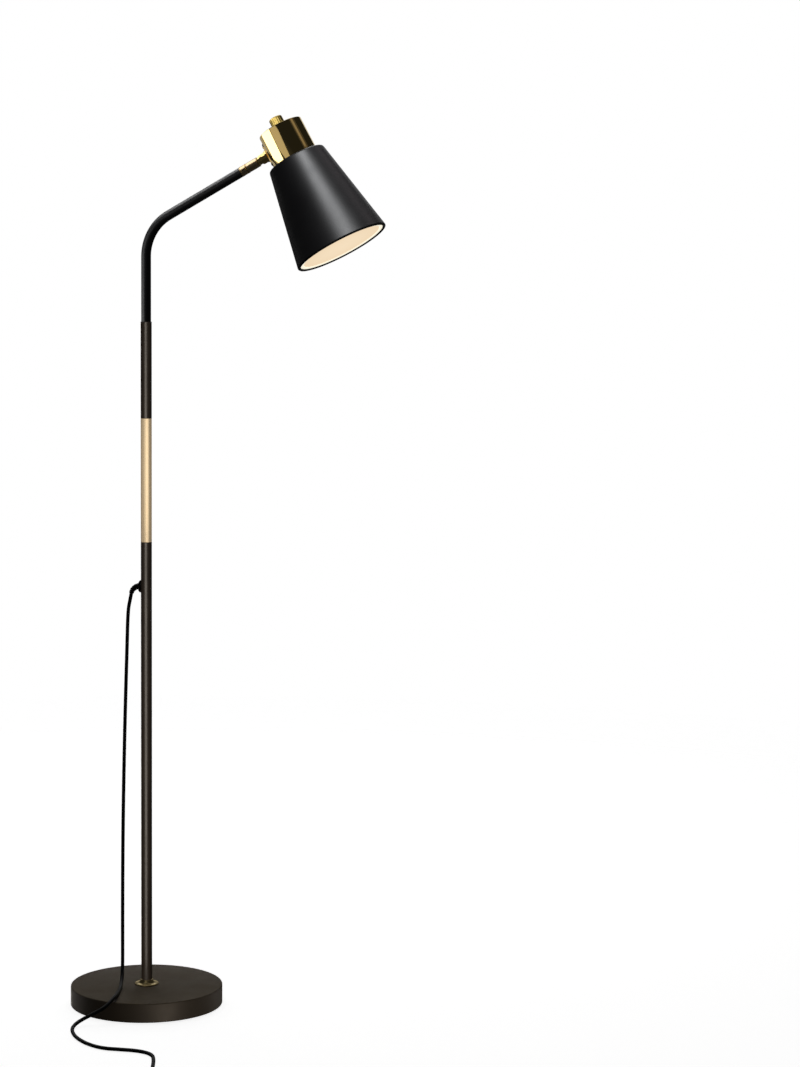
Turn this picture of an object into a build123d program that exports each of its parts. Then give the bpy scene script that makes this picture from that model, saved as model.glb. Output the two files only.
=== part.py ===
from build123d import *
import math
import os

# An adjustable arm floor lamp: weighted round base, pole in three sections, swivelling bent arm,
# and a head of brass cup and black cone that rolls and tilts. Millimetres and degrees.
# Origin: centre of the base's underside. +Z is up, and the arm reaches towards +X.

os.makedirs("parts", exist_ok=True)

# Base
base_diameter = 250.0
base_height = 33.0
cover_wall = 1.2
cover_edge = 2.5
cover_bottom = 1.5
pad_diameter = 238.0
pad_thickness = 3.0
plate_thickness = 1.5
weight_diameter = 240.0
weight_thickness = 17.0
weight_bore = 11.0
washer_diameter = 40.0
washer_thickness = 2.5
bolt_diameter = 10.0
bolt_clearance = 0.3
bolt_head_width = 17.0
bolt_head_height = 6.4
bolt_top = 60.0
foot_plug_top = 68.0
flange_height = 41.5
flange_diameter = 40.0

# Pole
pole_diameter = 18.0
pole_bore = 16.0
brass_bottom = 768.0
brass_top = 970.0
pole_top = 1126.0
coupler_length = 50.0
coupler_bore = 9.0
seam_bevel = 0.4
wire_diameter = 5.0

# Arm: a tube plugged into the pole, bent at an elbow and rising at arm_slope
arm_diameter = 15.9
arm_bore = 13.5
arm_foot = 1066.0
elbow_height = 1275.5
elbow_radius = 75.0
arm_slope = 28.5
arm_end = 189.0
bush_length = 20.0
bush_bore = 11.0
stop_height = 1071.0
stop_diameter = 3.0

# Swivel between arm and stub, measured along the arm from the elbow's corner
collar_end = 201.5
stub_start = 201.7
stub_diameter = 15.6
stub_bore = 13.2
spindle_diameter = 11.9
spindle_bore = 6.0
spindle_start = 171.7
spindle_overlap = 7.0
collar_spigot = 20.0
collar_screw_at = 195.3
groove_depth = 1.0
groove_width = 2.8
groove_turn = 170.0

# Knuckle, measured from its pivot
pivot_at = 231.0
shoulder_gap = 8.5
tongue_width = 9.4
tongue_round = 5.5
ear_round = 7.5
ear_gap = 10.4
pivot_diameter = 5.0
boss_radius = 9.0
boss_face = 6.0
boss_bore = 5.6
boss_step = 2.2
boss_flange_radius = 10.5
pivot_head_radius = 3.5
pivot_head_from = 7.6
pivot_head_to = 9.0
washer_radius = 5.4

# Head: cup, shade and light source, measured along the head's own axis
pivot_to_axis = 49.0
head_slope = 29.5
cup_radius = 36.5
cup_wall = 1.2
cup_top = 28.0
cup_bottom = -28.0
flange_radius = 22.0
bracket_thickness = 2.0
bracket_length = 42.0
bracket_width = 16.0
bracket_screw_spacing = 30.0
shade_top_radius = 47.5
shade_wall = 1.0
lip_radius = 2.0
mouth_radius = 77.0
mouth_height = -186.5
shade_screw_radius = 29.0
knob_radius = 11.0
knob_top = 46.5
shaft_radius = 3.0

# Cord
cord_diameter = 6.0
cord_exit_height = 695.0
relief_bend = 15.0
relief_turn = 78.0
flange_face = 12.2
coil_centre = (238.9, -413.6)
coil_inner = 28.5
coil_outer = 41.5
coil_bottom = 0.6
coil_top = 13.0
coil_entry_radius = 38.0
coil_exit_radius = 35.0
coil_entry_angle = 204.0
entry_straight = 30.0
tail_height = 9.7
plug_gap = 45.0
relief_length = 22.0
plug_length = 33.0
blade_spacing = 12.7
blade_size = (6.3, 1.5, 17.0)

# Frames worked out from the dimensions above
slope = math.radians(arm_slope)
tilt = math.radians(head_slope)
along_arm = Vector(math.cos(slope), 0, math.sin(slope))
elbow = Vector(0, 0, elbow_height)
outward = Vector(math.cos(tilt), 0, math.sin(tilt))
pivot = elbow + along_arm * pivot_at
head = Plane(pivot + outward * pivot_to_axis, x_dir=outward, z_dir=(-math.sin(tilt), 0, math.cos(tilt)))
boss = Plane(pivot, x_dir=(0, -1, 0), z_dir=-outward)


def arm_plane(distance):
    """The plane square to the sloping arm, at a distance from the elbow's corner."""
    return Plane(elbow + along_arm * distance, x_dir=(0, -1, 0), z_dir=along_arm)


def write(piece, name):
    """Label a finished piece and write it as its own STEP file."""
    piece.part.label = name
    export_step(piece.part, f"parts/{name}.step")


def turn(plane, points, mode=Mode.ADD):
    """Turn a closed outline of (radius, height) points about the plane's Z axis."""
    side = Plane(plane.origin, x_dir=plane.x_dir, z_dir=-plane.y_dir)
    with BuildSketch(side) as outline:
        with BuildLine():
            Polyline(*points, close=True)
        make_face()
    revolve(outline.sketch, axis=Axis(plane.origin, plane.z_dir), mode=mode)


def tube(plane, outer, inner, low, high, mode=Mode.ADD):
    """A round tube, or a rod where inner is 0, between two heights on the plane's Z axis."""
    with BuildSketch(plane.offset(low)) as ring:
        Circle(outer)
        if inner:
            Circle(inner, mode=Mode.SUBTRACT)
    extrude(ring.sketch, amount=high - low, mode=mode)


# ---------------------------------------------------------------- base

cover_inner = base_diameter / 2 - cover_wall
weight_bottom = base_height - cover_wall - weight_thickness
washer_bottom = weight_bottom - washer_thickness
bolt_hole = bolt_diameter / 2 + bolt_clearance

with BuildPart() as floor_pad:
    with BuildSketch():
        Circle(pad_diameter / 2)
    extrude(amount=pad_thickness)
    chamfer(floor_pad.faces().sort_by(Axis.Z)[0].edges(), 0.8)
write(floor_pad, "floor_pad")

with BuildPart() as base_plate:
    tube(Plane.XY, cover_inner, 0, pad_thickness, pad_thickness + plate_thickness)
write(base_plate, "base_plate")

with BuildPart() as base_weight:
    tube(Plane.XY, weight_diameter / 2, weight_bore / 2, weight_bottom, base_height - cover_wall)
    chamfer(base_weight.faces().sort_by(Axis.Z)[0].outer_wire().edges(), 2.0)
write(base_weight, "base_weight")

with BuildPart() as base_cover:
    tube(Plane.XY, base_diameter / 2, 0, cover_bottom, base_height)
    fillet(base_cover.faces().sort_by(Axis.Z)[-1].edges(), cover_edge)
    tube(Plane.XY, cover_inner, 0, cover_bottom, base_height - cover_wall, mode=Mode.SUBTRACT)
    tube(Plane.XY, bolt_hole, 0, base_height - 5, base_height + 1, mode=Mode.SUBTRACT)
write(base_cover, "base_cover")

with BuildPart() as base_washer:
    tube(Plane.XY, washer_diameter / 2, bolt_hole, washer_bottom, weight_bottom)
write(base_washer, "base_washer")

with BuildPart() as base_bolt:
    with BuildSketch(Plane.XY.offset(washer_bottom - bolt_head_height)):
        RegularPolygon(bolt_head_width / 2, 6, major_radius=False)
    extrude(amount=bolt_head_height)
    tube(Plane.XY, bolt_diameter / 2, 0, washer_bottom, bolt_top)
    chamfer(base_bolt.faces().sort_by(Axis.Z)[-1].edges(), 1.0)
write(base_bolt, "base_bolt")

with BuildPart() as foot_plug:
    tube(Plane.XY, pole_bore / 2, bolt_diameter / 2 + 0.02, base_height, foot_plug_top)
write(foot_plug, "foot_plug")

# The foot flange: a dished plate with a rounded rim, sweeping up round the pole.
flange_bore = pole_diameter / 2 + 0.1
flange_neck = flange_bore + 1.1
rim = flange_diameter / 2

with BuildPart() as foot_flange:
    with BuildSketch(Plane.XZ):
        with BuildLine():
            Polyline((flange_bore, flange_height), (flange_bore, base_height), (rim - 0.8, base_height))
            ThreePointArc((rim - 0.8, base_height), (rim, base_height + 1), (rim - 0.8, base_height + 2))
            Line((rim - 0.8, base_height + 2), (rim - 2.8, base_height + 1.4))
            ThreePointArc(
                (rim - 2.8, base_height + 1.4), (rim - 7.8, base_height + 3.4), (flange_neck, flange_height)
            )
            Line((flange_neck, flange_height), (flange_bore, flange_height))
        make_face()
    revolve(axis=Axis.Z)
write(foot_flange, "foot_flange")

# ---------------------------------------------------------------- pole


def pole_section(low, high):
    """A length of pole tube with a fine bevel at each end."""
    outer = pole_diameter / 2
    turn(
        Plane.XY,
        [
            (pole_bore / 2, low),
            (outer - seam_bevel, low),
            (outer, low + seam_bevel),
            (outer, high - seam_bevel),
            (outer - seam_bevel, high),
            (pole_bore / 2, high),
        ],
    )


exit_plane = Plane((0, 0, cord_exit_height), x_dir=(0, 1, 0), z_dir=(-1, 0, 0))

with BuildPart() as lower_tube:
    pole_section(base_height, brass_bottom)
    tube(exit_plane, 6.0, 0, 1.0, 12.0, mode=Mode.SUBTRACT)
write(lower_tube, "lower_tube")

with BuildPart() as brass_tube:
    pole_section(brass_bottom, brass_top)
write(brass_tube, "brass_tube")

with BuildPart() as upper_tube:
    pole_section(brass_top, pole_top)
write(upper_tube, "upper_tube")

for name, seam in (("lower_coupler", brass_bottom), ("upper_coupler", brass_top)):
    with BuildPart() as coupler:
        tube(Plane.XY, pole_bore / 2, coupler_bore / 2, seam - coupler_length / 2, seam + coupler_length / 2)
    write(coupler, name)

with BuildPart() as arm_bush:
    tube(Plane.XY, pole_bore / 2, bush_bore / 2, arm_foot - bush_length, arm_foot)
    # The key that the arm's stop pin meets at each end of its swing.
    with BuildSketch(Plane.XY.offset(arm_foot - 2)):
        with Locations((-bush_bore / 2 - 0.1, 0)):
            Rectangle(1.8, 3.2)
    extrude(amount=12)
write(arm_bush, "arm_bush")

with BuildPart() as pole_wire:
    with BuildLine() as path:
        FilletPolyline(
            (-7.4, 0, cord_exit_height), (0, 0, cord_exit_height), (0, 0, arm_foot), radius=7
        )
    with BuildSketch(Plane(path.wire() @ 0, z_dir=path.wire() % 0)):
        Circle(wire_diameter / 2)
    sweep()
write(pole_wire, "pole_wire")

# ---------------------------------------------------------------- cord: grommet, lead, coil, plug

# The strain relief is one moulding: a neck in the pole's hole, a lens-shaped flange, and a
# tapered sleeve that bends downwards as it thins.
sleeve_start = Vector(-flange_face, 0, cord_exit_height)


def sleeve_plane(turned):
    """The sleeve's cross-section after it has turned down by an angle."""
    angle = math.radians(turned)
    centre = sleeve_start + Vector(-math.sin(angle), 0, math.cos(angle) - 1) * relief_bend
    return Plane(centre, x_dir=(0, 1, 0), z_dir=(-math.cos(angle), 0, -math.sin(angle)))


with BuildPart() as strain_relief:
    turn(
        exit_plane,
        [(0, 7.4), (5.9, 7.4), (5.9, 9.6), (9.2, 9.6), (10.2, 10.6), (9.2, 11.4), (5.6, 12.2), (0, 12.2)],
    )
    for step, radius in enumerate((5.2, 4.7, 4.3, 4.0, 3.8)):
        with BuildSketch(sleeve_plane(relief_turn * step / 4)):
            Circle(radius)
    loft()
write(strain_relief, "strain_relief")

cord_start = sleeve_plane(relief_turn)

# The cord's route, point by point: down beside the pole, over the base and its rim, and away
# across the floor to the coil.
cord_route = [
    tuple(cord_start.origin),
    tuple(cord_start.origin + cord_start.z_dir * 30),
    (-34.6, -0.5, 594.0),
    (-37.0, -1.4, 510.0),
    (-38.8, -2.6, 425.0),
    (-39.8, -4.4, 340.0),
    (-39.9, -6.8, 255.0),
    (-39.2, -9.4, 172.0),
    (-38.3, -11.6, 104.0),
    (-37.9, -12.4, 62.5),
    (-28.5, -36.8, 36.4),
    (-11.2, -90.4, 36.4),
    (-1.8, -121.2, 41.0),
    (-6.8, -142.0, 29.0),
    (-27.9, -153.6, 17.0),
    (-43.5, -162.8, 8.2),
    (-46.6, -180.5, 3.4),
    (-36.5, -204.5, 3.2),
    (-15.4, -233.4, 3.2),
    (15.7, -259.0, 3.2),
    (49.1, -272.6, 3.2),
    (79.8, -267.7, 3.2),
    (109.0, -264.5, 3.2),
    (135.0, -273.7, 3.2),
    (150.8, -300.6, 3.4),
]


def local(along, across):
    """A floor point near the coil, along and across the direction in which the lead arrives."""
    heading = math.radians(coil_entry_angle + 90)
    x = coil_centre[0] + along * math.cos(heading) - across * math.sin(heading)
    y = coil_centre[1] + along * math.sin(heading) + across * math.cos(heading)
    return (x, y)


cord_height = coil_bottom + 0.3 + cord_diameter / 2
lead_end = (*local(-entry_straight, -coil_entry_radius), cord_height)
cord_route.append((*local(-entry_straight - 32, -coil_entry_radius), cord_height))
cord_route.append(lead_end)


def corner_radii(points):
    """The largest arc that each corner's two runs allow: 0.45 of the shorter, over tan(half turn)."""
    radii = []
    for before, corner, after in zip(points, points[1:], points[2:]):
        arriving = Vector(corner) - Vector(before)
        leaving = Vector(after) - Vector(corner)
        half_turn = math.radians(arriving.get_angle(leaving)) / 2
        radii.append(0.45 * min(arriving.length, leaving.length) / math.tan(half_turn))
    return radii


cord_radii = corner_radii(cord_route)

with BuildPart() as cord_lead:
    with BuildLine() as path:
        FilletPolyline(*cord_route, radius=cord_radii)
    with BuildSketch(cord_start):
        Circle(cord_diameter / 2)
    sweep()
write(cord_lead, "cord_lead")
lead_length = path.wire().length
print("cord runs", [round((Vector(b) - Vector(a)).length) for a, b in zip(cord_route, cord_route[1:])])
print("cord bend radii", [round(r, 1) for r in cord_radii])
print(f"cord lead length {lead_length:.0f}, volume {cord_lead.part.volume:.0f},", end=" ")
print(f"section x length {math.pi * (cord_diameter / 2) ** 2 * lead_length:.0f}")

entry_plane = Plane(lead_end, z_dir=(*[a - b for a, b in zip(local(1, 0), local(0, 0))], 0))
tail_start = (*local(coil_exit_radius, 0), tail_height)
tail_way = (*[a - b for a, b in zip(local(0, 1), local(0, 0))], 0)
tail_plane = Plane(tail_start, x_dir=(0, 0, 1), z_dir=tail_way)

with BuildPart() as cord_coil:
    tube(Plane((*coil_centre, 0)), coil_outer, coil_inner, coil_bottom, coil_top)
    chamfer(cord_coil.edges().filter_by(GeomType.CIRCLE), 2.0)
    tube(entry_plane, cord_diameter / 2, 0, 0, entry_straight)
    tube(tail_plane, cord_diameter / 2 - 0.02, 0, 0, plug_gap)
write(cord_coil, "cord_coil")

with BuildPart() as cord_tie:
    middle = (coil_inner + coil_outer) / 2
    spot = local(-middle * math.cos(0.6), middle * math.sin(0.6))
    radial = Vector(spot[0] - coil_centre[0], spot[1] - coil_centre[1]).normalized()
    with BuildSketch(Plane((*spot, 0), x_dir=radial, z_dir=radial.cross(Vector(0, 0, 1)))):
        with Locations((0, 6.8)):
            RectangleRounded(16.0, 13.6, 1.2)
            RectangleRounded(14.6, 12.6, 0.6, mode=Mode.SUBTRACT)
    extrude(amount=4, both=True)
write(cord_tie, "cord_tie")

plug_back = tail_plane.offset(plug_gap + relief_length)

with BuildPart() as plug_body:
    with BuildSketch(tail_plane.offset(plug_gap)):
        Circle(3.6)
    with BuildSketch(plug_back):
        Circle(5.2)
    loft()
    with BuildSketch(plug_back):
        RectangleRounded(15.0, 19.0, 4.0)
    with BuildSketch(plug_back.offset(plug_length * 0.45)):
        RectangleRounded(16.0, 22.0, 4.0)
    with BuildSketch(plug_back.offset(plug_length)):
        RectangleRounded(18.0, 26.0, 4.0)
    loft()
write(plug_body, "plug_body")

with BuildPart() as plug_blades:
    with BuildSketch(plug_back.offset(plug_length)):
        with GridLocations(0, blade_spacing, 1, 2):
            Rectangle(blade_size[0], blade_size[1])
    extrude(amount=blade_size[2])
write(plug_blades, "plug_blades")

# ---------------------------------------------------------------- arm

stop_plane = Plane((0, 0, stop_height), x_dir=(0, 1, 0), z_dir=(1, 0, 0))

with BuildPart() as arm_tube:
    with BuildLine() as path:
        FilletPolyline((0, 0, arm_foot), tuple(elbow), tuple(arm_plane(arm_end).origin), radius=elbow_radius)
    with BuildSketch(Plane.XY.offset(arm_foot)):
        Circle(arm_diameter / 2)
        Circle(arm_bore / 2, mode=Mode.SUBTRACT)
    sweep()
    tube(stop_plane, stop_diameter / 2, 0, 2, 12, mode=Mode.SUBTRACT)
write(arm_tube, "arm_tube")

with BuildPart() as arm_stop_pin:
    tube(stop_plane, stop_diameter / 2, 0, 4.7, 7.8)
write(arm_stop_pin, "arm_stop_pin")

with BuildPart() as arm_wire:
    with BuildLine() as path:
        FilletPolyline(
            (0, 0, arm_foot + 0.3), tuple(elbow), tuple(arm_plane(spindle_start - 0.3).origin),
            radius=elbow_radius,
        )
    with BuildSketch(Plane.XY.offset(arm_foot + 0.3)):
        Circle(wire_diameter / 2)
    sweep()
write(arm_wire, "arm_wire")

with BuildPart() as swivel_collar:
    turn(
        arm_plane(0),
        [
            (6.0, arm_end - collar_spigot),
            (arm_bore / 2, arm_end - collar_spigot),
            (arm_bore / 2, arm_end),
            (arm_diameter / 2 - 0.4, arm_end),
            (arm_diameter / 2, arm_end + 0.4),
            (arm_diameter / 2, collar_end - 0.4),
            (arm_diameter / 2 - 0.4, collar_end),
            (6.0, collar_end),
        ],
    )
    screw_plane = Plane(arm_plane(collar_screw_at).origin, x_dir=along_arm, z_dir=(0, -1, 0))
    tube(screw_plane, 1.5, 0, 2, 12, mode=Mode.SUBTRACT)
write(swivel_collar, "swivel_collar")

with BuildPart() as collar_screw:
    tube(screw_plane, 1.5, 0, 6.0, 7.8)
    tube(screw_plane, 1.2, 0, 5.1, 6.0)
    with BuildSketch(screw_plane.offset(7.0)):
        RegularPolygon(0.75, 6, major_radius=False)
    extrude(amount=2, mode=Mode.SUBTRACT)
write(collar_screw, "collar_screw")

# ---------------------------------------------------------------- stub, turning in the collar

with BuildPart() as swivel_spindle:
    turn(
        arm_plane(0),
        [
            (spindle_bore / 2, spindle_start),
            (spindle_diameter / 2, spindle_start),
            (spindle_diameter / 2, stub_start),
            (stub_bore / 2, stub_start),
            (stub_bore / 2, stub_start + spindle_overlap),
            (spindle_bore / 2, stub_start + spindle_overlap),
        ],
    )
    # The screw's groove runs both ways from the screw, and the rib that is left stops the turn.
    at_screw = arm_plane(collar_screw_at)
    with BuildSketch(Plane(at_screw.origin, x_dir=(0, -1, 0), z_dir=at_screw.y_dir)) as groove:
        with Locations((spindle_diameter / 2, 0)):
            Rectangle(2 * groove_depth, groove_width)
    for way in (along_arm, -along_arm):
        turning = Axis(at_screw.origin, way)
        revolve(groove.sketch, axis=turning, revolution_arc=groove_turn, mode=Mode.SUBTRACT)
write(swivel_spindle, "swivel_spindle")

shoulder_at = pivot_at - shoulder_gap

with BuildPart() as stub_tube:
    turn(
        arm_plane(0),
        [
            (stub_bore / 2, stub_start),
            (stub_diameter / 2 - 0.4, stub_start),
            (stub_diameter / 2, stub_start + 0.4),
            (stub_diameter / 2, shoulder_at - 0.6),
            (stub_diameter / 2 - 0.6, shoulder_at),
            (stub_bore / 2, shoulder_at),
        ],
    )
write(stub_tube, "stub_tube")

tongue_side = Plane(pivot, x_dir=along_arm, z_dir=(0, -1, 0))

with BuildPart() as knuckle_tongue:
    with BuildSketch(tongue_side):
        Circle(tongue_round)
        with Locations((-shoulder_gap / 2, 0)):
            Rectangle(shoulder_gap, 2 * tongue_round)
    extrude(amount=tongue_width / 2, both=True)
    tube(arm_plane(pivot_at), stub_bore / 2, 0, -shoulder_gap - 12, -shoulder_gap)
    with BuildSketch(tongue_side):
        Circle(pivot_diameter / 2 + 0.05)
    extrude(amount=20, both=True, mode=Mode.SUBTRACT)
    tube(arm_plane(pivot_at), 2.7, 0, -30, 10, mode=Mode.SUBTRACT)
write(knuckle_tongue, "knuckle_tongue")

with BuildPart() as stub_wire:
    tube(arm_plane(0), wire_diameter / 2, 0, spindle_start, pivot_at - 4)
write(stub_wire, "stub_wire")

# ---------------------------------------------------------------- knuckle and bracket, on the head

cup_face = pivot_to_axis - cup_radius
bracket_face = cup_face - bracket_thickness

with BuildPart() as knuckle_boss:
    tube(boss, boss_flange_radius, 0, -cup_face - 3, -boss_face - boss_step)
    tube(boss, boss_radius, 0, -boss_face - boss_step, ear_round)
    fillet(knuckle_boss.edges().filter_by(GeomType.CIRCLE).group_by(SortBy.RADIUS)[-1], 0.6)
    # Round the ears about the pivot, then open the slot that the tongue swings in.
    with BuildSketch(Plane(pivot, x_dir=-outward, z_dir=(0, 1, 0))):
        with Locations((-30 + ear_round / 2, 0)):
            Rectangle(60 - ear_round, 60)
        Circle(ear_round)
        with Locations((-15, 0)):
            Rectangle(30, 60)
    extrude(amount=20, both=True, mode=Mode.INTERSECT)
    with BuildSketch(Plane(pivot, x_dir=-outward, z_dir=(0, 1, 0))):
        with Locations((15 - boss_face, 0)):
            Rectangle(30, 60)
    extrude(amount=ear_gap / 2, both=True, mode=Mode.SUBTRACT)
    with BuildSketch(tongue_side):
        Circle(pivot_diameter / 2)
    extrude(amount=20, both=True, mode=Mode.SUBTRACT)
    for side in (-1, 1):
        recess = Plane(pivot, x_dir=outward, z_dir=(0, side, 0))
        tube(recess, pivot_head_radius + 0.1, 0, pivot_head_from, 12, mode=Mode.SUBTRACT)
    tube(boss, boss_bore / 2, 0, -30, 0, mode=Mode.SUBTRACT)
    tube(head, cup_radius + bracket_thickness, 0, -40, 40, mode=Mode.SUBTRACT)
write(knuckle_boss, "knuckle_boss")

with BuildPart() as bracket_plate:
    tube(head, cup_radius + bracket_thickness, cup_radius, -30, 30)
    with BuildSketch(boss.offset(-cup_face - 8)):
        SlotOverall(bracket_length, bracket_width, rotation=90)
    extrude(amount=12, mode=Mode.INTERSECT)
    tube(boss, boss_bore / 2, 0, -30, 0, mode=Mode.SUBTRACT)
    for end in (-1, 1):
        spot = boss.origin + head.z_dir * end * bracket_screw_spacing / 2
        tube(Plane(spot, z_dir=boss.z_dir), 1.5, 0, -30, 0, mode=Mode.SUBTRACT)
write(bracket_plate, "bracket_plate")

with BuildPart() as bracket_screws:
    for end in (-1, 1):
        spot = Plane(boss.origin + head.z_dir * end * bracket_screw_spacing / 2, z_dir=boss.z_dir)
        tube(spot, 1.5, 0, -cup_face - 4, -bracket_face)
        turn(
            spot,
            [
                (0, -bracket_face), (2.9, -bracket_face), (2.9, -bracket_face + 1.0),
                (2.2, -bracket_face + 1.8), (0, -bracket_face + 2.1),
            ],
        )
write(bracket_screws, "bracket_screws")

with BuildPart() as pivot_screws:
    for side in (-1, 1):
        across = Plane(pivot, x_dir=outward, z_dir=(0, side, 0))
        tube(across, pivot_diameter / 2, 0, 3.0, pivot_head_from)
        tube(across, pivot_head_radius, 0, pivot_head_from, pivot_head_to)
        with BuildSketch(across.offset(pivot_head_to - 0.6)):
            Rectangle(8, 0.9)
        extrude(amount=2, mode=Mode.SUBTRACT)
write(pivot_screws, "pivot_screws")

with BuildPart() as friction_washers:
    for side in (-1, 1):
        across = Plane(pivot, x_dir=outward, z_dir=(0, side, 0))
        tube(across, washer_radius, pivot_diameter / 2 + 0.05, tongue_width / 2 + 0.02, ear_gap / 2)
write(friction_washers, "friction_washers")

# ---------------------------------------------------------------- cup and what it holds

with BuildPart() as cup:
    turn(
        head,
        [
            (5.1, cup_top), (cup_radius - 0.8, cup_top), (cup_radius, cup_top - 0.8),
            (cup_radius, cup_bottom), (flange_radius, cup_bottom), (flange_radius, cup_bottom + 1.5),
            (cup_radius - cup_wall, cup_bottom + 1.5), (cup_radius - cup_wall, cup_top - 1.5),
            (5.1, cup_top - 1.5),
        ],
    )
    with BuildSketch(head.offset(cup_bottom - 1)):
        with PolarLocations(shade_screw_radius, 3, start_angle=90):
            Circle(1.5)
    extrude(amount=4, mode=Mode.SUBTRACT)
    tube(boss, boss_bore / 2, 0, -30, 0, mode=Mode.SUBTRACT)
    for end in (-1, 1):
        spot = Plane(boss.origin + head.z_dir * end * bracket_screw_spacing / 2, z_dir=boss.z_dir)
        tube(spot, 1.5, 0, -30, 0, mode=Mode.SUBTRACT)
write(cup, "cup")

with BuildPart() as dimmer:
    turn(
        head,
        [
            (0, 14.0), (12.0, 14.0), (12.0, cup_top - 1.5), (4.9, cup_top - 1.5), (4.9, 33.5),
            (shaft_radius + 0.05, 33.5), (shaft_radius + 0.05, 16.0), (0, 16.0),
        ],
    )
write(dimmer, "dimmer")

with BuildPart() as dimmer_nut:
    with BuildSketch(head.offset(cup_top)):
        RegularPolygon(7.0, 6, major_radius=False)
        Circle(4.9, mode=Mode.SUBTRACT)
    extrude(amount=2.5)
write(dimmer_nut, "dimmer_nut")

driver_bottom = cup_bottom + 1.5
driver_top = driver_bottom + 18.0

with BuildPart() as led_driver:
    with BuildSketch(head.offset(driver_bottom)):
        RectangleRounded(40, 30, 3)
    extrude(amount=driver_top - driver_bottom)
    chamfer(led_driver.faces().sort_by(Axis(head.origin, head.z_dir))[-1].edges(), 1.5)
write(led_driver, "led_driver")

with BuildPart() as dimmer_leads:
    with BuildSketch(head.offset(driver_top)):
        with Locations((5, 0), (9, 0)):
            Circle(0.8)
    extrude(amount=14.0 - driver_top)
write(dimmer_leads, "dimmer_leads")

with BuildPart() as head_wire:
    with BuildLine() as path:
        FilletPolyline(
            tuple(head.from_local_coords((tongue_round + 0.3 - pivot_to_axis, 0, 0))),
            tuple(head.from_local_coords((-14, 0, 0))),
            tuple(head.from_local_coords((-14, 0, driver_top))),
            radius=8,
        )
    with BuildSketch(Plane(path.wire() @ 0, z_dir=path.wire() % 0)):
        Circle(wire_diameter / 2)
    sweep()
write(head_wire, "head_wire")

with BuildPart() as knob:
    turn(
        head,
        [
            (8.6, cup_top + 0.4), (knob_radius - 0.5, cup_top + 0.4), (knob_radius, cup_top + 0.9),
            (knob_radius, knob_top - 1.8), (knob_radius - 1.8, knob_top), (0, knob_top), (0, 42.0),
            (shaft_radius, 42.0), (shaft_radius, 34.2), (8.6, 34.2),
        ],
    )
write(knob, "knob")

with BuildPart() as dimmer_shaft:
    tube(head, shaft_radius, 0, 16.4, 42.0)
write(dimmer_shaft, "dimmer_shaft")

# ---------------------------------------------------------------- shade and light source

lip_height = mouth_height + lip_radius
lip_centre = mouth_radius - lip_radius
plate_bottom = cup_bottom - shade_wall
sink_bottom = -44.0
board_bottom = sink_bottom - 1.6

with BuildPart() as shade:
    with BuildSketch(Plane(head.origin, x_dir=head.x_dir, z_dir=-head.y_dir)) as shade_side:
        with BuildLine():
            Polyline(
                (flange_radius, cup_bottom), (shade_top_radius, cup_bottom), (lip_centre + 1.0, lip_height),
                (lip_centre, lip_height), (shade_top_radius - 1.2, plate_bottom),
                (flange_radius, plate_bottom), close=True,
            )
        make_face()
        fillet(shade_side.vertices().group_by(Axis.Y)[-2].sort_by(Axis.X)[-1], 3.0)
        fillet(shade_side.vertices().group_by(Axis.Y)[-1].sort_by(Axis.X)[-1], 4.0)
        with Locations((lip_centre, lip_height)):
            Circle(lip_radius)
    revolve(axis=Axis(head.origin, head.z_dir))
    with BuildSketch(head.offset(cup_bottom - 3)):
        with PolarLocations(shade_screw_radius, 3, start_angle=90):
            Circle(1.7)
    extrude(amount=6, mode=Mode.SUBTRACT)
write(shade, "shade")

with BuildPart() as heat_sink:
    turn(head, [(6, plate_bottom), (42, plate_bottom), (42, sink_bottom), (6, sink_bottom)])
    for low in (-33.5, -37.0, -40.5):
        tube(head, 50, 24, low - 1.8, low, mode=Mode.SUBTRACT)
    with BuildSketch(head.offset(sink_bottom - 1)):
        with PolarLocations(shade_screw_radius, 3, start_angle=90):
            Circle(3.2)
    extrude(amount=sink_bottom * -1 + plate_bottom - 2, mode=Mode.SUBTRACT)
    with BuildSketch(head.offset(sink_bottom - 1)):
        with PolarLocations(shade_screw_radius, 3, start_angle=90):
            Circle(1.7)
    extrude(amount=20, mode=Mode.SUBTRACT)
write(heat_sink, "heat_sink")

with BuildPart() as shade_screws:
    with BuildSketch(head.offset(plate_bottom - 3.0)):
        with PolarLocations(shade_screw_radius, 3, start_angle=90):
            Circle(1.5)
    extrude(amount=7.5)
    with BuildSketch(head.offset(plate_bottom - 5.0)):
        with PolarLocations(shade_screw_radius, 3, start_angle=90):
            Circle(2.9)
    extrude(amount=2.0)
write(shade_screws, "shade_screws")

with BuildPart() as led_board:
    tube(head, 36, 0, board_bottom, sink_bottom)
write(led_board, "led_board")

with BuildPart() as led_leads:
    with BuildSketch(head.offset(sink_bottom)):
        with Locations((-3, 0), (3, 0)):
            Circle(0.8)
    extrude(amount=driver_bottom - sink_bottom)
write(led_leads, "led_leads")

with BuildPart() as led_chips:
    with BuildSketch(head.offset(board_bottom)):
        with PolarLocations(12, 6):
            Rectangle(3, 3)
        with PolarLocations(25, 12):
            Rectangle(3, 3)
    extrude(amount=-0.8)
write(led_chips, "led_chips")

bezel_inner = 66.8
bezel_outer = lip_centre - lip_radius - 0.1
bezel_top = -182.0
bezel_bottom = -185.6
diffuser_step = 69.5

with BuildPart() as reflector:
    turn(
        head,
        [
            (37, sink_bottom), (43.0, sink_bottom), (72.4, bezel_top), (71.5, bezel_top),
            (42.2, sink_bottom - 0.9), (37, sink_bottom - 0.9),
        ],
    )
write(reflector, "reflector")

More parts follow.
